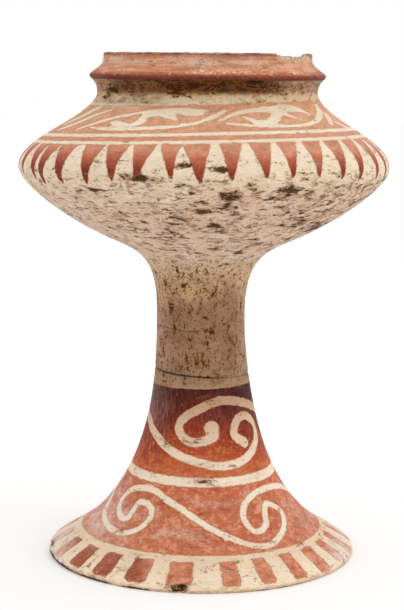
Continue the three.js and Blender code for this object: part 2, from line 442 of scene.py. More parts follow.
def teeth(bearing, height):
    """Depth inside the red teeth that hang from the shoulder's foot.

    A tooth h wide to either side at its root and e at its tip is (h - e)(1 - d) + e wide, where d runs from 0
    to 1 down it, and its middle is d of the way from the root's bearing to the tip's."""
    root, along, radius = arc(tilted(bearing, FRIEZE_FOOT)), arc(height), radius_at(height)
    depth = outside_all(bearing, height)
    for start, tip, tip_height, half in all_teeth():
        down = (root - along) / (root - arc(tip_height))
        middle = start + (tip - start) * down
        across = np.radians(apart(bearing, middle)) * radius
        wide = (half - TOOTH_TIP) * (1 - np.clip(down, 0, 1)) + TOOTH_TIP
        depth = np.maximum(depth, np.minimum(wide - np.abs(across), (1 - down) * 20))
    return np.minimum(depth, root - along)


def all_stripes():
    """Bearing and half-width of every bar across the foot's edge."""
    behind = np.linspace(STRIPES[-1][0], STRIPES[0][0] + 360, STRIPES_BEHIND + 2)[1:-1]
    return [*STRIPES, *((bearing, STRIPE_BEHIND) for bearing in behind)]


def stripes(bearing, height):
    """Depth inside the bars across the foot's edge, which widen a little outwards with the foot.

    At a bar's lower end the depth is c - hypot(c - side, c - end), never past c, which rounds its corners."""
    top, along = arc(lean(bearing, STRIPE_TOP, 0.5)), arc(height)
    radius = radius_at(height)
    middle_radius = radius_at((STRIPE_FOOT + STRIPE_TOP) / 2)
    depth = outside_all(bearing, height)
    for middle, half in all_stripes():
        side = half * radius / middle_radius - np.radians(np.abs(apart(bearing, middle))) * radius
        end = along - arc(STRIPE_FOOT + 0.8 * np.sin(3 * middle))
        corner = np.hypot(np.maximum(BAR_CORNER - side, 0), np.maximum(BAR_CORNER - end, 0))
        depth = np.maximum(depth, BAR_CORNER - corner)
    return np.minimum(depth, top - along)


def frieze(bearing, height):
    """Depth inside the frieze's red: its ground outside the cream strokes and lines, and the leaves on it."""
    along = arc(height)
    ground = np.minimum(arc(lean(bearing, FRIEZE_TOP, 2)) - along, along - arc(tilted(bearing, FRIEZE_FOOT)))
    lines = [band(height, tilted(bearing, middle), half) for middle, half in FRIEZE_LINES]
    lines = np.maximum.reduce(lines)
    open_ground = -np.maximum(union(bearing, height, brushed(FRIEZE_CREAM, CREAM_SPREAD)), lines)
    on_cream = np.minimum(union(bearing, height, brushed(FRIEZE_RED)), -lines)
    return np.minimum(ground, np.maximum(open_ground, on_cream))


def foot_zone(bearing, height):
    """Depth inside the foot's red ground, without the cream scrolls and the band between them."""
    spurs = [stroke(knots, width=wide) for knots, wide in SPURS]
    lines = both_halves([hooked_line()]) + [running_scroll()] + spurs
    middle, half = MIDDLE_BAND
    cream = np.maximum(union(bearing, height, lines), band(height, lean(bearing, middle, 0.7, -90), half))
    along = arc(height)
    ground = np.minimum(arc(lean(bearing, ZONE_TOP, 0.6, 40)) - along, along - arc(ZONE_FOOT))
    return np.minimum(ground, -cream)


def painted(bearing, height):
    """Depth inside the red paint anywhere on the outside, kept within NEAR either way."""
    collar = arc(height) - arc(COLLAR_FOOT) + 0 * bearing
    parts = [shape(bearing, height) for shape in (frieze, teeth, foot_zone, stripes)]
    return np.clip(np.maximum.reduce([collar, *parts]), -NEAR, NEAR)


# What every point of the mesh carries for its finish
CARRIED = ("paint", "stain", "smear", "rub", "bare", "hollow")

# Stains on the outside, and painted shadow at the foot: bearing, height, half-length sideways, half-length
# upwards and strength
STAINS_AND_SHADOWS = (
    (-20, 232.8, 10, 2.3, 1.4), (-28, 232.5, 4, 1.5, 0.9), (-13, 232, 4.5, 2, 1), (-6, 240.5, 5, 1.8, 1.2),
    (-2, 239.5, 3, 1.4, 0.5), (4, 238.5, 4.6, 2.8, 1.35), (8, 224, 7, 3.4, 1), (26, 226, 7.5, 2.6, 0.75),
    (33, 225.3, 4.5, 2.4, 0.6), (14, 230, 5, 2, 0.55), (-3, 229, 4, 1.2, 0.4), (40, 223, 4, 1.6, 0.4),
    (6, 217, 6, 1.8, 0.7), (0, 214.5, 5, 2.2, 0.85), (25, 217, 4, 1.8, 0.6), (56, 203, 8, 2.8, 0.9),
    (50, 208, 7, 2.4, 0.7), (44, 213, 5, 1.6, 0.5), (62, 200, 9, 2.6, 0.9), (31, 235, 8, 1.6, 0.45),
    (43, 234.5, 9, 1.3, 0.55), (-60, 235, 3, 2.4, 0.6), (15, 226, 4, 2.6, 0.4), (-35, 225.5, 5, 1.4, 0.5),
    (4, 205.5, 6, 2, 0.7), (31, 193, 5, 1.8, 0.5), (8, 190, 5, 1.6, 0.5), (-41, 224.5, 7, 2.4, 0.6),
    (-26, 225.5, 6, 1.6, 0.4), (-42, 214, 6.5, 2, 0.6), (-33, 208, 5.5, 1.6, 0.55), (-26, 206.5, 5, 1.8, 0.6),
    (-13, 206.5, 8, 2, 1), (-13, 197.5, 6.5, 1.8, 0.7), (-3, 226.5, 4, 1.4, 0.5), (-44, 234, 4.5, 1.6, 0.35),
    (66, 226, 6, 2, 0.4), (20, 205, 5, 1.6, 0.5), (13, 197, 5, 1.4, 0.5), (-26, 172.8, 1.2, 5, 0.9),
    (-22, 165.5, 1.6, 2.6, 1), (-1, 177.6, 5, 1.8, 0.6), (23, 179.5, 3.6, 2, 0.5), (22, 170.5, 3.4, 1.3, 0.6),
    (-37, 150.5, 4, 5, 0.6), (7, 145.8, 1.4, 3.6, 1), (-36, 139.5, 1.8, 5.5, 1), (8, 138.6, 4.5, 2, 0.85),
    (38, 141, 3.6, 5, 0.5), (-14, 147.6, 3.6, 1.8, 0.5), (-17, 119.5, 1.3, 5.5, 0.85),
    (0, 121.5, 6.5, 4.5, 0.75), (-58, 128.5, 4.5, 4, 0.6), (12, 162.5, 4, 1.8, 0.5), (2, 110.6, 5, 1.3, 1),
    (66, 152, 2.4, 2, 0.9), (-48, 168, 2, 4, 0.6), (-5, 160, 3, 1.8, 0.4), (-50, 108, 2, 3, 0.5),
    (-38, 107, 1.5, 2.4, 0.7), (10, 129, 4, 2.5, 0.4), (-10, 108.5, 4, 1.6, 0.4), (45, 120, 4, 3, 0.35),
    (4, 99, 5, 2.2, 0.65), (-16, 72.5, 5, 3, 0.8), (-3, 74.5, 3, 3, 0.6), (3, 61.5, 13, 3, 0.65),
    (-34, 71, 6, 3, 0.4), (2, 52.5, 9, 1.8, 0.8), (-62, 52.5, 6, 2, 0.4), (50, 52.5, 6, 2, 0.3),
    (-29, 14.5, 6, 1.6, 0.6), (-55, 16, 7, 1.8, 0.5), (14, 14, 4, 2, 0.5), (52, 15.5, 5, 1.8, 0.6),
    (-4, 4.8, 4, 2, 0.6), (2, 5.6, 5, 1.4, 0.4), (-47, 22, 7, 1.8, 0.4), (62, 27, 4, 3, 0.5),
    # Below: the rows under 1 mm high are a painted contact shadow under the foot's edge, and the rows at -8
    # and -84 degrees painted shade in the chips' recesses
    (-8, 3, 6.2, 3.2, 1.7), (-76, 0.8, 14, 2.3, 2.4), (-60, 0.6, 14, 1.8, 2.4), (-42, 0.4, 14, 1.4, 2.2),
    (-84, 4.5, 6, 2.6, 1.6), (-24, 0.3, 12, 1.1, 2), (30, 0.2, 18, 0.7, 1.6), (-55, 5, 3, 1.6, 0.8),
    (-33, 7.5, 2.2, 3.5, 0.6), (-47, 8, 1.6, 4, 0.7), (-62, 9, 1.6, 4, 0.7), (57, 4, 4, 1.2, 0.5),
)

# Dark smears round the neck, in the same order
SMEARS = (
    (-12, 281.5, 15, 2.6, 0.9), (-30, 281, 12, 1.6, 0.6), (8, 282, 14, 1.8, 1), (30, 281.6, 14, 1.6, 0.9),
    (-10, 275.5, 12, 2.2, 0.75), (-56, 278, 8, 3, 0.8), (-62, 274, 5, 3, 0.7), (-36, 275, 7, 2, 0.5),
    (48, 281, 8, 1.8, 0.4), (57, 278, 3, 2.4, 0.4), (-46, 281.5, 9, 1.5, 0.5), (100, 280, 18, 2.4, 0.7),
    (150, 281, 20, 2, 0.8), (205, 279.5, 18, 2.6, 0.6), (250, 281, 20, 2, 0.8), (72, 279.5, 5, 2, 0.4),
)

# Where the paint is rubbed through or has turned pale, in the same order. The rows low on the foot at -72,
# -62,
# 54, 68, 70 and 84 degrees are painted sheen at its left and right sides
RUBS_AND_SHEEN = (
    (-12, 26, 12, 3.6, 1), (-2, 23.5, 9, 2.4, 0.8), (-24, 24, 7, 3, 0.6), (6, 40, 8, 3, 0.5),
    (-8, 43, 9, 2, 0.5), (22, 41, 8, 3, 0.6), (11, 10, 6, 2.2, 1), (54, 8.5, 7, 4, 0.7), (68, 9, 7, 5, 0.8),
    (84, 9, 8, 5, 0.8), (-72, 9, 8, 5, 0.7), (-62, 30, 14, 10, 0.5), (70, 28, 14, 12, 0.5),
    (-34, 33, 9, 5, 0.7), (-50, 31, 6, 3, 0.7), (24, 246.5, 7, 3, 0.8), (52, 246, 7, 2.6, 0.6),
    (34, 240, 5, 4, 0.6), (150, 30, 20, 6, 0.7), (215, 26, 16, 5, 0.7), (180, 80, 12, 8, 0.4),
    (130, 246, 12, 3, 0.6), (-60, 296.2, 10, 2.2, 1.6), (-40, 294.5, 9, 1.6, 0.8), (-3, 294, 9, 2.4, 1.4),
    (-16, 296.6, 9, 1.5, 0.9), (22, 294.5, 10, 1.8, 0.8), (40, 291.5, 10, 2, 0.7), (62, 290.5, 8, 3, 0.9),
    (-66, 290, 5, 2, 0.5), (140, 293, 14, 2.4, 1), (-44, 269.5, 15, 2.2, 1.3), (230, 295, 16, 2, 1),
)


def spotted(bearing, height, spots):
    """Sum over the spots of strength times exp(-q^2), where q = (x/a)^2 + (y/b)^2, x along and y up."""
    radius, along = radius_at(height), arc(height)
    total = np.zeros(np.broadcast(bearing, height).shape)
    for middle, level, half_length, half_rise, strength in spots:
        x = np.radians(apart(bearing, middle)) * radius
        y = along - arc(level)
        total += strength * np.exp(-(((x / half_length) ** 2 + (y / half_rise) ** 2) ** 2))
    return np.clip(total, 0, 2.4)


def ragged(bearing, length):
    """A factor near 1 that roughens a chip's rim: 1 plus three sines of the distance along it."""
    x = bearing * length
    return 1 + 0.16 * np.sin(x * 5.3) + 0.12 * np.sin(x * 9.1 + 1) + 0.07 * np.sin(x * 17 + 2)


def chip_span(chip, bearing):
    """Distance along the edge from a chip's middle, as a share of its half-length."""
    return np.radians(apart(bearing, chip.bearing)) * chip.radius / (chip.length / 2)


def uneven(bearing, height, amount):
    """Hand-raised unevenness: slow swells and shallow finger marks, fading out at the standing ring."""
    b = np.radians(bearing)
    swell = np.sin(2 * b + 0.7 + height / 90) + 0.6 * np.sin(3 * b - height / 37)
    marks = np.sin(7 * b + 2 * np.sin(height / 19)) * np.sin(height / 6.5 + 1.5 * np.sin(3 * b))
    return amount * (0.7 * swell + 0.3 * marks) * smooth(height, 2, 9)


def vase_points(form):
    """The vase as a grid of points, in rows from the foot's crown to the bowl's floor, and what they carry.

    A point is radius times (sin b, -cos b) with its height. Its radius takes the unevenness, the cut line and
    the foot's chips, and its height takes the lip's chip and nibbles."""
    path, outside = whole_outline(form)
    bearing = np.arange(form.columns)[None, :] * 360 / form.columns
    radius, height = path[:, :1], path[:, 1:]
    out = outside[:, None]

    r = radius + uneven(bearing, height, form.unevenness / MM) * smooth(radius, 2, 20)
    cut = np.exp(-(((height - lean(bearing, CUT_HEIGHT, -CUT_LEAN)) / CUT_WIDTH) ** 2))
    r = r - form.groove / MM * cut * out
    bare = np.zeros(r.shape)
    for chip in FOOT_CHIPS:
        along = chip_span(chip, bearing)
        up = (height - chip.height) / chip.depth
        gap = np.sqrt(np.clip(1 - along**2 - up**2, 0, 1)) * ragged(np.radians(bearing), chip.radius / 12)
        near_edge = smooth(radius, chip.radius - 6, chip.radius - 1) * (radius > chip.radius - 8)
        r = r - chip.width / 2 * gap * near_edge
        bare = np.maximum(bare, smooth(gap * near_edge, 0.05, 0.3))

    along = chip_span(LIP_CHIP, bearing)
    across = (radius - LIP_CHIP.radius) / (LIP_CHIP.width / 2)
    gap = np.sqrt(np.clip(1 - along**4 - across**4, 0, 1)) * ragged(np.radians(bearing), LIP_CHIP.radius / 12)
    nibbles = NIBBLE * (1 + np.sin(np.radians(bearing * 23)) * np.sin(np.radians(bearing * 41 + 60)))
    middle, half_width, deep = LIP_DIP
    loss = LIP_CHIP.depth * gap + nibbles + deep * np.exp(-(((bearing - middle) / half_width) ** 4))
    bottom = TOP - 3 * LIP_CHIP.depth
    share = np.clip((height - bottom) / (TOP - bottom), 0, 1)
    share = share * ((radius < RADIUS["lip"] + 1) & (radius > RADIUS["lip"] - LIP_WIDTH - 2))
    z = height - loss * share
    bare = np.maximum(bare, smooth(gap * share, 0.3, 0.5))

    b = np.radians(bearing)
    points = np.stack([r * np.sin(b) + sway(height), -r * np.cos(b), z + 0 * b], -1)
    carried = {
        "paint": np.where(out, painted(bearing, height), -NEAR),
        "bare": bare,
        "hollow": np.where(out, 0, 1) + 0 * bearing,
    }
    for name, spots in (("stain", STAINS_AND_SHADOWS), ("smear", SMEARS), ("rub", RUBS_AND_SHEEN)):
        carried[name] = np.where(out, spotted(bearing, height, spots), 0)
    return points, carried


def turned_mesh(name, points, carried):
    """A closed mesh from a grid of rings, the first and the last of which are points on the axis."""
    rows, columns = points.shape[:2]
    inner = points[1:-1].reshape(-1, 3)
    poles = points[[0, -1], 0]
    vertices = np.concatenate([inner, poles]) * MM
    number = np.arange((rows - 2) * columns).reshape(rows - 2, columns)
    after = np.roll(number, -1, axis=1)
    quads = np.stack([number[:-1], after[:-1], after[1:], number[1:]], -1).reshape(-1, 4)
    pole = np.full(columns, len(inner))
    first = np.stack([pole, after[0], number[0]], -1)
    last = np.stack([number[-1], after[-1], pole + 1], -1)
    mesh = bpy.data.meshes.new(name)
    mesh.from_pydata(vertices, [], quads.tolist() + first.tolist() + last.tolist())
    mesh.polygons.foreach_set("use_smooth", np.ones(len(mesh.polygons), bool))

    u = np.arange(columns) / columns
    step = 1 / columns
    v = np.arange(rows) / (rows - 1)
    left, low = np.meshgrid(u, v[1:-2])
    high = low + v[1]
    base = np.zeros(columns)
    top = base + v[-2]
    corners = (
        (left, low, left + step, low, left + step, high, left, high),
        (u + step / 2, base, u + step, base + v[1], u, base + v[1]),
        (u, top, u + step, top, u + step / 2, base + 1),
    )
    layer = mesh.uv_layers.new(name="OFBake")
    layer.uv.foreach_set("vector", np.concatenate([np.stack(face, -1).reshape(-1) for face in corners]))

    for label, values in carried.items():
        flat = np.concatenate([values[1:-1].reshape(-1), values[[0, -1], 0]])
        attribute = mesh.attributes.new(label, "FLOAT", "POINT")
        attribute.data.foreach_set("value", flat.astype(np.float32))
    mesh.update()
    return mesh


class Signal:
    """An output socket. Arithmetic on it adds Math nodes, so that 1 - mask * 0.5 is a piece of the shader."""

    def __init__(self, graph, socket):
        self.graph = graph
        self.socket = socket

    def math(self, operation, *values, **settings):
        settings["operation"] = operation
        return self.graph.node("ShaderNodeMath", settings, dict(enumerate(values)))

    def __add__(self, other):
        return self.math("ADD", self, other)

    __radd__ = __add__

    def __sub__(self, other):
        return self.math("SUBTRACT", self, other)

    def __rsub__(self, other):
        return self.math("SUBTRACT", other, self)

    def __mul__(self, other):
        return self.math("MULTIPLY", self, other)

    __rmul__ = __mul__

    def clamped(self):
        return self.math("ADD", self, 0, use_clamp=True)

    def absolute(self):
        return self.math("ABSOLUTE", self)

    def either(self, other):
        return self.math("MAXIMUM", self, other)

    def scaled(self, factor):
        """A colour or a place times a factor."""
        return self.graph.node("ShaderNodeVectorMath", {"operation": "SCALE"}, {0: self, "Scale": factor})

    def layered(self, *layers):
        """This colour turned towards others one after another, each given with its factor."""
        colour = self
        for factor, other in layers:
            colour = self.graph.mix(factor, colour, other)
        return colour

    def fade(self, low, high):
        """0 below low, 1 above high and smooth between them; low above high turns it round."""
        if low > high:
            return 1 - self.fade(high, low)
        settings = {"interpolation_type": "SMOOTHSTEP", "clamp": True}
        values = {"Value": self, "From Min": low, "From Max": high}
        return self.graph.node("ShaderNodeMapRange", settings, values)

    def window(self, low, high, soft):
        """1 between low and high, fading over soft at either end."""
        return self.fade(low - soft, low + soft) * self.fade(high + soft, high - soft)

    def heights(self, tones):
        """A colour for each height, from a list of heights and display colours."""
        share = self.graph.node("ShaderNodeMapRange", {"clamp": True}, {"Value": self, "From Max": TOP})
        stops = [(height / TOP, tone(*colour)) for height, *colour in tones]
        return self.graph.node("ShaderNodeValToRGB", {"stops": stops}, {"Fac": share}, out="Color")


class Graph:
    """A material's nodes."""

    def __init__(self, material):
        material.use_nodes = True
        self.tree = material.node_tree
        self.tree.nodes.clear()

    def node(self, kind, settings=None, values=None, out=0):
        """Adds a node of a type, its settings first and then its sockets; gives an output."""
        made = self.tree.nodes.new(kind)
        for key, value in (settings or {}).items():
            if key == "stops":
                self.set_stops(made.color_ramp, value)
            else:
                setattr(made, key, value)
        for key, value in (values or {}).items():
            socket = self.find(made.inputs, key)
            if isinstance(value, Signal):
                self.tree.links.new(value.socket, socket)
            else:
                socket.default_value = value
        return Signal(self, self.find(made.outputs, out)) if len(made.outputs) else None

    @staticmethod
    def find(sockets, key):
        """A socket by its place, identifier or name."""
        if isinstance(key, int):
            return sockets[key]
        return next((socket for socket in sockets if socket.identifier == key), None) or sockets[key]

    @staticmethod
    def set_stops(ramp, stops):
        """Gives a ramp its stops, each a place from 0 to 1 and a colour."""
        while len(ramp.elements) > 1:
            ramp.elements.remove(ramp.elements[-1])
        ramp.elements[0].position, ramp.elements[0].color = stops[0]
        for position, colour in stops[1:]:
            ramp.elements.new(position).color = colour

    def mix(self, factor, *pair):
        """A colour between two by a factor, each of them a signal or a display colour."""
        first, second = (colour if isinstance(colour, Signal) else tone(*colour) for colour in pair)
        values = {"Factor_Float": factor, "A_Color": first, "B_Color": second}
        settings = {"data_type": "RGBA", "clamp_factor": True}
        return self.node("ShaderNodeMix", settings, values, out="Result_Color")

    def noise(self, place, across, up, detail=4, rough=0.6, twist=0):
        """Fractal noise round 0, with across features in a millimetre sideways and up features upwards."""
        stretch = {0: place, 1: (across, across, up)}
        at = self.node("ShaderNodeVectorMath", {"operation": "MULTIPLY"}, stretch)
        values = {"Vector": at, "Scale": 1, "Detail": detail, "Roughness": rough, "Distortion": twist}
        return self.node("ShaderNodeTexNoise", {"noise_dimensions": "3D"}, values, out="Fac") - 0.5


def linear(level):
    """A display level from 0 to 255 as linear light: ((c + 0.055) / 1.055)^2.4, or c / 12.92 near black."""
    share = level / 255
    return share / 12.92 if share <= 0.04045 else ((share + 0.055) / 1.055) ** 2.4


def tone(red, foot_shadow, blue):
    """A display colour, each part from 0 to 255, as linear light."""
    return (linear(red), linear(foot_shadow), linear(blue), 1.0)


# The slip's tone at heights up the vase, where it isn't stained. Under the collar's ridge, from 278 to 285.4
# mm,
# it is nearly black: soot, and painted shade under the ridge
SLIP_TONES = (
    (0, 206, 173, 140), (2.4, 238, 215, 187), (5, 238, 219, 192), (15, 230, 203, 174), (24, 238, 220, 197),
    (52, 235, 216, 192), (64, 231, 210, 185), (78, 216, 186, 158), (88, 200, 166, 138), (97, 184, 148, 119),
    (107, 153, 125, 99), (120, 146, 114, 88), (148, 146, 114, 88), (160, 165, 133, 104), (172, 194, 163, 131),
    (184, 216, 191, 168), (200, 213, 188, 165), (216, 211, 185, 160), (228, 218, 195, 168),
    (237, 229, 209, 182), (250, 236, 217, 192), (262, 238, 219, 194), (270, 224, 204, 174),
    (276, 199, 172, 134), (277.2, 170, 136, 98), (278, 78, 50, 31), (281, 64, 39, 24), (285.4, 62, 37, 23),
    (286.4, 206, 168, 138), (300, 222, 192, 166),
)

# The red paint's tone at heights up the vase. Its dark rows from 284 to 286.2 mm, under the collar's crest,
# are painted shade
RED_TONES = (
    (3, 198, 124, 94), (12, 202, 130, 100), (22, 191, 112, 80), (40, 192, 110, 78), (50, 192, 106, 72),
    (58, 189, 104, 67), (66, 170, 78, 48), (76, 140, 60, 38), (87, 106, 44, 32), (96, 86, 37, 30),
    (104, 66, 29, 24), (229, 114, 45, 33), (237, 134, 54, 38), (243, 176, 97, 71), (248, 200, 138, 108),
    (256, 206, 146, 113), (264, 211, 158, 124), (272, 204, 142, 110), (284, 100, 50, 38),
    (286.2, 112, 56, 40), (287.6, 150, 80, 56), (288.8, 196, 124, 90), (290.5, 200, 138, 104),
    (292, 198, 144, 112), (294.5, 196, 148, 118), (297, 190, 130, 102), (298.4, 160, 98, 74),
    (299.3, 104, 66, 46),
)

DARK_CLAY = (47, 24, 8)
BROWN_HALO = (132, 82, 40)
PALE_CLAY = (216, 190, 158)
BUFF_CLAY = (188, 160, 128)
# The green-black of the painted shadow under the foot's edge and in the chips
SHADOW_AND_LICHEN = (30, 28, 15)


# Noise fixed in the vase: features in a millimetre sideways and upwards, detail, roughness and distortion
NOISES = {
    "broad": (0.02, 0.03, 3),
    "patches": (0.07, 0.11, 4, 0.62),
    "mottle": (0.25, 0.34, 4, 0.68),
    "grain": (1.3, 1.6, 3, 0.7),
    "clumps": (0.12, 0.3, 3, 0.6, 0.5),
    "dashes": (0.4, 0.16, 3),
    "ragged": (0.42, 0.66, 5, 0.72, 0.8),
    "torn": (0.27, 0.72, 5, 0.68, 0.7),
    "fleck": (0.5, 0.75, 4, 0.72),
    "dots": (0.85, 1.1, 3, 0.55),
    "hair": (0.16, 2.1, 4, 0.62, 0.3),
    "upright": (0.8, 0.07, 4, 0.66),
    "streaks": (0.035, 0.9, 4),
}


def fields(g):
    """What the finish reads: the place in millimetres, what the mesh carries, the noises and three zones."""
    f = SimpleNamespace()
    place = g.node("ShaderNodeTexCoord", out="Object").scaled(1 / MM)
    for axis in "XZ":
        setattr(f, axis.lower(), g.node("ShaderNodeSeparateXYZ", None, {"Vector": place}, out=axis))
    for name in CARRIED:
        setattr(f, name, g.node("ShaderNodeAttribute", {"attribute_name": name}, out="Fac"))
    for name, nature in NOISES.items():
        setattr(f, name, g.noise(place, *nature))
    f.under = f.z.window(182, 231, 7)
    f.stem = f.z.window(106, 181, 6)
    f.neck = f.z.window(276.5, 285, 1)
    return f


def slip_colour(f, depth):
    """The cream slip by height, clouded more round the stem, with hairlines along the wheel's turn.

    Close to the red, whose depth is given, it is tinted tan."""
    colour = (f.z + f.patches * 16 * (f.stem + f.under * 0.5)).heights(SLIP_TONES)
    cloud = f.patches * 0.7 + f.mottle * 0.45
    colour = colour.scaled(1 + cloud * (0.45 + f.stem * 0.9 + f.under * 0.35))
    pink = (f.broad + f.mottle * 0.5).fade(0, 0.14) * f.under
    pale = (f.clumps + f.patches * 0.8).fade(0.04, 0.16) * (f.under + f.z.window(181, 190, 3) * 0.6)
    lines = f.hair.fade(0.07, 0.13) * (0.16 + f.under * 0.3)
    # Painted reflection: the stem lighter at its left and right edges, where the white surround shows
    edges = f.x.absolute().fade(17, 27) * f.z.window(114, 180, 8)
    hatch = f.upright.fade(0.02, 0.09) * f.z.window(271.5, 278, 1.2) * f.x.fade(-30, 10)
    smudged = f.z.window(271, 286, 1.5) * f.x.fade(-14, -32) * (0.45 + f.mottle * 3)
    side = f.x + f.mottle * 22
    ends = side.fade(34, 52).either(side.fade(-46, -60)) * f.z.window(272, 287, 1.5)
    ochre = (f.patches + f.mottle * 0.4).fade(-0.06, 0.1) * f.z.window(156, 180, 8)
    mauve = f.clumps.fade(-0.02, 0.1) * f.z.window(112, 156, 8)
    colour = colour.layered(
        (pink * 0.28, (198, 160, 138)), (pale * 0.55, (232, 216, 200)), (lines, BROWN_HALO),
        (edges * 0.3, (216, 186, 158)), (hatch * 0.35, (158, 128, 88)), (smudged, (122, 92, 66)),
        (ends * 0.62, (206, 176, 144)), (ochre * 0.4, (196, 164, 116)), (mauve * 0.3, (152, 118, 98)),
    )
    colour = colour.scaled(1 + f.neck * (f.mottle * 2.4 + f.clumps * 1.2))
    tan = (depth + f.fleck * 1.3).fade(-1, 0.2) * (0.55 - f.under * 0.3) * f.z.fade(279, 276)
    return colour.layered((tan, (208, 158, 116)), (f.stain.clamped() * 0.3, (172, 138, 98)))


def paint_colour(f):
    """The red paint by height: burnished dark at the foot's top, darker towards its left and right sides,
    grainy and rubbed pale below.
    """
    foot = f.z.fade(112, 100) * f.z.fade(50, 62)
    shifted = f.z + (f.patches * 24 + f.broad * 26 + f.x.absolute() * 0.22 - 2) * foot
    colour = (shifted + f.mottle * 2 * f.z.fade(270, 250)).heights(RED_TONES)
    dark = f.z.window(74, 106, 10)
    collar = f.z.fade(286, 288)
    colour = colour.scaled(1 + f.patches * 0.8 + f.mottle * 0.95 + f.grain * 0.85 + f.upright * dark * 2)
    colour = colour.scaled(1 + f.streaks * collar * 1.5)
    plum = (f.patches + f.upright * 0.8).fade(0, 0.14) * (0.14 + f.x.fade(-14, -28) * 0.42) * dark
    crimson = (f.clumps + f.fleck * 0.7).fade(0, 0.12) * f.z.fade(92, 74)
    ember = (f.fleck + f.mottle * 0.8).fade(0.02, 0.13) * f.z.fade(84, 70)
    chalky = (f.mottle + f.patches * 0.7 + f.fleck * 0.5).fade(0.02, 0.15) * f.z.fade(60, 42)
    flecks = (f.dots + f.patches * 0.8).fade(0.09, 0.15) * f.z.window(287.8, 290.4, 0.8)
    # Darker red low on the foot's left side
    left = f.z.fade(16, 14) * f.x.window(-78, -32, 6) * (0.7 + f.fleck * 1.6)
    # Rubbed paint turns pale; on the foot's left and right sides this paleness is painted sheen
    pale = (f.rub * (1 + f.mottle * 4 + f.grain * 2)).clamped() * (0.28 + collar * 0.22)
    return colour.layered(
        (plum, (138, 92, 86)), (crimson * 0.5, (170, 66, 44)), (ember * 0.5, (214, 128, 76)),
        (chalky * 0.5, (216, 166, 142)), (flecks * 0.65, (240, 216, 192)), (left, (140, 66, 44)),
        (pale, (222, 184, 166)),
    )


def paint_cover(f, look):
    """Where the red lies within its wandering edge, the depth in it, and where it has flaked or worn off."""
    rough_hand = look.wobble * (1 + f.z.fade(16, 13))
    depth = f.paint + (f.mottle * 1.5 + f.grain * 1.1) * rough_hand
    streaks = (f.rub * 0.2 + f.hair * 0.7 + f.dots * 0.7 + f.ragged * 0.3).fade(0.21, 0.26)
    tips = (f.z.window(229, 235, 1.5) + f.z.window(285.6, 288, 0.6) + f.z.fade(6, 4)).clamped()
    flecks = (0 - f.dots).fade(0.15, 0.19) * (0.35 + tips * 0.65)
    tip_flecks = (f.ragged + f.grain * 0.4).fade(0.09, 0.13) * tips
    lost = (streaks + (flecks + tip_flecks) * look.wear).clamped()
    return depth.fade(-0.28, 0.28) * (1 - lost * 0.8), depth, lost


def dark_marks(f, cover):
    """Dark marks where the surface is torn or stained: a brown halo and a nearly black core.

    They are the high ground of noise drawn along the wheel's turn or up the stem, raised by the stains and by
    the painted shadow at the foot."""
    drawn = f.clumps + (f.dashes - f.clumps) * f.stem
    zones = f.under * (0.018 + f.x.fade(-70, 0) * 0.029 + f.x.fade(20, 60) * 0.012)
    zones = zones + f.stem * 0.029 + f.neck * 0.05 - cover * 0.04 - f.z.window(247, 271, 2) * 0.06
    zones = zones - f.z.fade(106, 102) * 0.03
    torn = f.ragged + (f.torn - f.ragged) * f.under
    level = drawn * 0.55 + torn * 0.6 + f.stain * 0.13 + f.smear * 0.12 + zones
    dotted = f.under * 0.5 + f.stem * 0.8 + f.neck * 0.6 + f.stain * 0.8 + 0.12
    dots = (f.dots + f.stem * 0.02).fade(0.13, 0.17) * dotted.clamped() * (1 - cover * 0.6)
    return level.fade(0.02, 0.11), level.fade(0.12, 0.165).either(dots)


def cut_line(f):
    """The line cut round the stem, darker at the left, and the fainter join above it."""
    away = f.z + f.x * (CUT_LEAN / CUT_RADIUS) + f.mottle - CUT_HEIGHT
    line = away.absolute().fade(0.8, 0.3) * f.x.fade(30, -6).either(0.4)
    away = f.z + f.patches * 8 + f.mottle * 3 - JOIN_HEIGHT
    join = away.absolute().fade(0.55, 0.15) * f.x.fade(8, -8)
    return line.either(join * 0.6)


def bare_clay(g, f):
    """How bare the clay is at the lip, the foot's edge and the chips, and its gritty colour."""
    lip = (f.z + f.mottle * 2 + f.grain * 1.2 + f.patches * 4).fade(298.9, 299.5)
    foot = (f.z + f.mottle * 7 + f.patches * 6).fade(3.0, 1.8)
    amount = f.bare.either(lip * 0.6).either(foot * 0.75)
    colour = g.mix(f.mottle.fade(-0.06, 0.08), PALE_CLAY, BUFF_CLAY).scaled(1 + f.grain * 1.2)
    grit = f.dots.fade(0.05, 0.1) * f.bare.either(lip)
    return amount, colour.layered((grit * 0.8, DARK_CLAY))


def hollow_colour(g, f):
    """Unpainted clay inside the bowl and the foot, duller and stained."""
    colour = g.mix(f.patches.fade(-0.08, 0.1), (178, 138, 108), (148, 110, 84))
    return colour.scaled(1 + f.mottle * 0.9 + f.grain * 0.6)


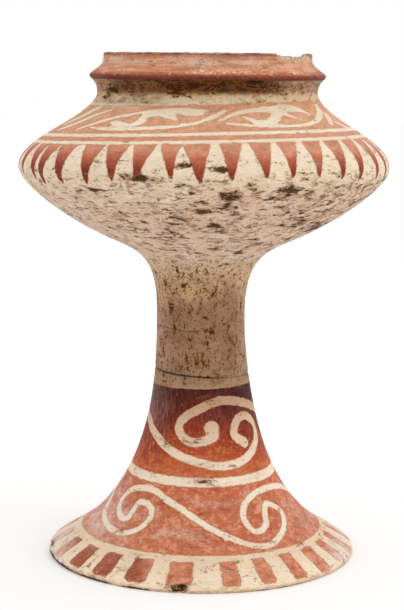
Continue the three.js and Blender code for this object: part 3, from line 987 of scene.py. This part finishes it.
def clay_finish(look):
    """Slip, red paint, bare clay and dark marks, in that order, with their roughness and relief."""
    material = bpy.data.materials.new(SLOT)
    g = Graph(material)
    f = fields(g)
    cover, depth, lost = paint_cover(f, look)
    outline = (depth + 0.1).absolute().fade(0.5, 0.1) * (f.patches + f.mottle).fade(-0.05, 0.1)
    # Paler at the foot's left and right sides: dust, and painted sheen of the white surround at a grazing
    # angle
    sides = f.z.window(18, 58, 10) * (f.x.fade(-34, -66) + f.x.fade(52, 80) * 0.6)
    sides = sides + f.z.fade(18, 14) * f.x.absolute().fade(70, 88) * 1.2
    dust_and_sheen = sides * (0.46 + f.patches * 2 + f.mottle)
    # Painted highlight: pale streaks on the dark red at the upper left of the foot's painted zone
    highlight_streaks = f.z.window(80, 103, 6) * f.x.fade(-16, -34) * (0.2 + f.upright)
    blush = f.z.window(0.6, 3.6, 0.8) * (f.clumps + f.fleck * 0.5).fade(0, 0.12)
    bare, clay = bare_clay(g, f)
    halo, core = dark_marks(f, cover)
    # Painted shadow: where the stain table's strongest rows lie low on the foot, a contact shadow under its
    # edge and shade in the chips' recesses, drawn darker and green-black
    foot_shadow = f.stain.fade(1.1, 1.7) * f.z.fade(9, 6)
    line = cut_line(f)
    red_mark = (f.z + f.x * 1.5 + f.fleck * 5 - 157).absolute().fade(2, 0.8) * f.x.window(14.5, 19.5, 0.8)
    colour = slip_colour(f, depth).layered(
        (cover, paint_colour(f)), (outline * 0.5, (110, 64, 42)), (dust_and_sheen, (225, 210, 200)),
        (highlight_streaks, (206, 170, 158)), (blush * 0.5, (206, 146, 112)), (bare, clay),
        (f.hollow * f.z.fade(299.4, 298.4), hollow_colour(g, f)), (halo * 0.68, BROWN_HALO),
        (core * (0.87 + foot_shadow * 0.08), g.mix(foot_shadow, DARK_CLAY, SHADOW_AND_LICHEN)), (line * 0.85, (50, 38, 32)),
        (red_mark * f.z.window(124, 137, 2) * 0.8, (112, 44, 26)),
    )
    rough = 0.7 - cover * 0.1 + core * 0.12 + f.mottle * 0.3 + bare * 0.15
    relief = cover * 0.05 + f.grain * 0.2 + f.mottle * 0.35 + f.hair * 0.1 - core * 0.18 - line * 0.3
    bump = {"Strength": 1, "Distance": MM * look.relief, "Height": relief - lost * 0.05}
    shader_values = {
        "Base Color": colour.scaled(look.brightness + f.grain * 0.4),
        "Roughness": rough.clamped(),
        "Normal": g.node("ShaderNodeBump", None, bump, out="Normal"),
        "Specular IOR Level": look.gloss,
        "Sheen Weight": look.sheen,
        "Sheen Roughness": 0.3,
    }
    shader = g.node("ShaderNodeBsdfPrincipled", None, shader_values)
    g.node("ShaderNodeOutputMaterial", None, {"Surface": shader})
    return material


class VaseForm(bpy.types.PropertyGroup):
    """Sizes of the vase that its frame leaves open."""

    bowl_wall: FloatProperty(
        name="Bowl Wall", description="Thickness of the bowl", default=6.5 * MM, min=0.002, unit="LENGTH"
    )
    foot_wall: FloatProperty(
        name="Foot Wall", description="Thickness of the foot", default=7 * MM, min=0.002, unit="LENGTH"
    )
    unevenness: FloatProperty(
        name="Unevenness", description="How far the wall swells", default=0.3 * MM, unit="LENGTH"
    )
    groove: FloatProperty(
        name="Cut Line", description="Depth of the line round the stem", default=0.45 * MM, unit="LENGTH"
    )
    columns: IntProperty(name="Columns", description="Points in each ring", default=360, min=48, max=360)


class VaseLook(bpy.types.PropertyGroup):
    """Finish of the clay, its slip and its paint."""

    wobble: FloatProperty(name="Wobble", description="How far the paint's edges stray in mm", default=1)
    wear: FloatProperty(name="Wear", description="How much paint has flaked", default=1, subtype="FACTOR")
    relief: FloatProperty(name="Relief", description="Depth of the grain and scratches", default=1)
    sheen: FloatProperty(name="Sheen", description="Dusty sheen at the edges", default=0.06, subtype="FACTOR")
    gloss: FloatProperty(name="Gloss", description="Strength of reflection", default=0.05, subtype="FACTOR")
    brightness: FloatProperty(name="Brightness", description="Factor on every colour", default=1)


class StudioSetup(bpy.types.PropertyGroup):
    """The plain studio: floor, light and camera."""

    floor_colour: FloatVectorProperty(
        name="Floor", description="Colour of the floor", default=(0.9, 0.9, 0.9), size=3, subtype="COLOR"
    )
    floor_size: FloatProperty(name="Floor Size", description="Width of the floor", default=16, unit="LENGTH")
    surround: FloatProperty(name="Surround", description="Brightness of the white surround", default=1)
    key: FloatProperty(name="Key", description="Power of the light at the right", default=3.7, unit="POWER")
    lens: FloatProperty(name="Lens", description="Focal length", default=98.97, unit="CAMERA")
    distance: FloatProperty(
        name="Distance", description="From the vase's axis to the camera", default=0.9974, unit="LENGTH"
    )
    eye: FloatProperty(name="Eye", description="Height of the camera", default=0.294, unit="LENGTH")
    dip: FloatProperty(
        name="Dip", description="How far the camera looks down", default=math.radians(8.21), subtype="ANGLE"
    )
    roll: FloatProperty(name="Roll", description="Camera's roll", default=math.radians(0.5), subtype="ANGLE")


def link(context, item):
    context.scene.collection.objects.link(item)
    return item


class POTTERY_OT_raise_vase(bpy.types.Operator):
    """Raise the vase over its frame and give it its painted, worn finish"""

    bl_idname = "pottery.raise_vase"
    bl_label = "Raise Vase"

    def execute(self, context):
        points, carried = vase_points(context.scene.vase_form)
        if not np.isfinite(points).all():
            raise ValueError("the outline has points without a place")
        mesh = turned_mesh(PIECE, points, carried)
        mesh.materials.append(clay_finish(context.scene.vase_look))
        piece = link(context, bpy.data.objects.new(PIECE, mesh))
        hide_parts(NODE)
        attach(piece, BODY)
        return {"FINISHED"}


WHITE = (1, 1, 1, 1)


def plain_finish(name, colour):
    """A matt surface of one colour, for the floor, that glows by what it lacks to white."""
    material = bpy.data.materials.new(name)
    g = Graph(material)
    values = {"Base Color": (*colour, 1), "Roughness": 1, "Specular IOR Level": 0}
    values |= {"Emission Color": WHITE, "Emission Strength": 1 - max(colour)}
    shader = g.node("ShaderNodeBsdfPrincipled", None, values)
    g.node("ShaderNodeOutputMaterial", None, {"Surface": shader})
    return material


def soft_light(context, name, place, aim, size, power):
    """A square area light at a place, turned towards another."""
    data = bpy.data.lights.new(name, "AREA")
    data.shape = "SQUARE"
    data.size = size
    data.energy = power
    lamp = link(context, bpy.data.objects.new(name, data))
    turn = (Vector(aim) - Vector(place)).to_track_quat("-Z", "Y").to_matrix().to_4x4()
    lamp.matrix_world = Matrix.Translation(place) @ turn


class POTTERY_OT_set_stage(bpy.types.Operator):
    """Set the pale floor, the white surround, the soft lights and the camera"""

    bl_idname = "pottery.set_stage"
    bl_label = "Set Stage"

    def execute(self, context):
        scene, setup = context.scene, context.scene.studio_setup
        half = setup.floor_size / 2
        corners = [(-half, -half, LOW.z), (half, -half, LOW.z), (half, half, LOW.z), (-half, half, LOW.z)]
        mesh = bpy.data.meshes.new("floor")
        mesh.from_pydata(corners, [], [(0, 1, 2, 3)])
        mesh.materials.append(plain_finish("floor", setup.floor_colour))
        link(context, bpy.data.objects.new("floor", mesh))

        world = bpy.data.worlds.new("surround")
        world.use_nodes = True
        background = world.node_tree.nodes["Background"]
        background.inputs["Color"].default_value = WHITE
        background.inputs["Strength"].default_value = setup.surround
        scene.world = world
        middle = (0, 0, (LOW.z + HIGH.z) / 2)
        soft_light(context, "key", (1.2, -0.7, 0.9), middle, 1.2, setup.key)
        soft_light(context, "rim", (1, 0.9, 0.5), middle, 1, setup.key * 0.6)
        soft_light(context, "fill", (-1.2, 0.5, 0.6), middle, 1, setup.key * 0.1)

        data = bpy.data.cameras.new("camera")
        data.lens = setup.lens
        data.clip_start = 0.01
        camera = link(context, bpy.data.objects.new("camera", data))
        aim = Matrix.Rotation(math.radians(90) - setup.dip, 4, "X") @ Matrix.Rotation(setup.roll, 4, "Z")
        camera.matrix_world = Matrix.Translation((-0.0006, -setup.distance, setup.eye)) @ aim
        scene.camera = camera
        scene.view_settings.view_transform = "Standard"
        return {"FINISHED"}


class POTTERY_PT_panel(bpy.types.Panel):
    """The vase's and the studio's settings"""

    bl_idname = "POTTERY_PT_panel"
    bl_label = "Footed Vase"
    bl_space_type = "VIEW_3D"
    bl_region_type = "UI"
    bl_category = "Pottery"

    def draw(self, context):
        scene = context.scene
        for group, operator in (
            (scene.vase_form, "pottery.raise_vase"),
            (scene.vase_look, None),
            (scene.studio_setup, "pottery.set_stage"),
        ):
            box = self.layout.box()
            for name in group.bl_rna.properties.keys():
                if name not in ("rna_type", "name"):
                    box.prop(group, name)
            if operator:
                box.operator(operator)


CLASSES = (VaseForm, VaseLook, StudioSetup, POTTERY_OT_raise_vase, POTTERY_OT_set_stage, POTTERY_PT_panel)
GROUPS = {"vase_form": VaseForm, "vase_look": VaseLook, "studio_setup": StudioSetup}


def register():
    for item in CLASSES:
        bpy.utils.register_class(item)
    for name, group in GROUPS.items():
        setattr(bpy.types.Scene, name, PointerProperty(type=group))


def unregister():
    for name in GROUPS:
        delattr(bpy.types.Scene, name)
    for item in reversed(CLASSES):
        bpy.utils.unregister_class(item)


def main():
    register()
    bpy.ops.pottery.raise_vase()
    bpy.ops.pottery.set_stage()


if __name__ == "__main__":
    main()
